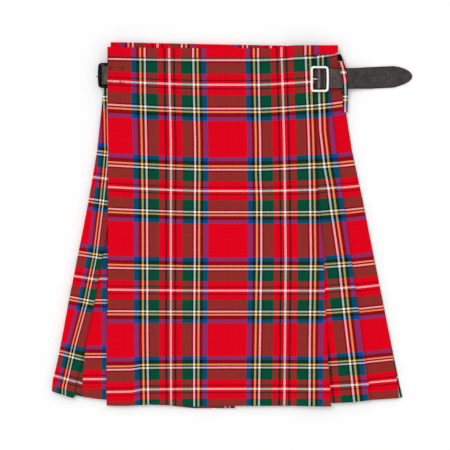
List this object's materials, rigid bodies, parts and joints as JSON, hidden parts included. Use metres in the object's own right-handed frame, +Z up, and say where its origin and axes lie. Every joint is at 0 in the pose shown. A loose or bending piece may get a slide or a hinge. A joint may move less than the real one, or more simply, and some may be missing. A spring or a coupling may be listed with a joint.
{
  "type": "scottish kilt",
  "caption": "Knee-length tartan kilt laid flat, with a plain front apron, knife pleats round the back, a sewn waistband and two leather straps with buckles.",
  "frame": {"origin": "under the middle of the garment, on the surface that it lies on", "axes": "+Z up, out of the surface, +Y from the hem to the waist, +X to the right of someone who looks at the front from above"},
  "size_m": [0.5772, 0.5862, 0.0185],
  "materials": {
    "tartan": "red tartan in a two-up, two-down twill, matt, pressed",
    "leather": "black-brown strap leather, fine grain, darker edges",
    "metal": "polished nickel plate"
  },
  "bodies": {
    "root": {"front_apron": "tartan", "right_side": "tartan", "back_pleats": "tartan", "left_side": "tartan", "under_apron": "tartan", "waistband_front": "tartan", "waistband_under": "tartan", "waistband_back": "tartan", "strap_loop": "tartan", "strap_right": "leather", "chape_right": "leather", "buckle_right": "metal", "prong_right": "metal", "strap_left": "leather", "buckle_left": "metal", "prong_left": "metal"}
  },
  "joints": []
}
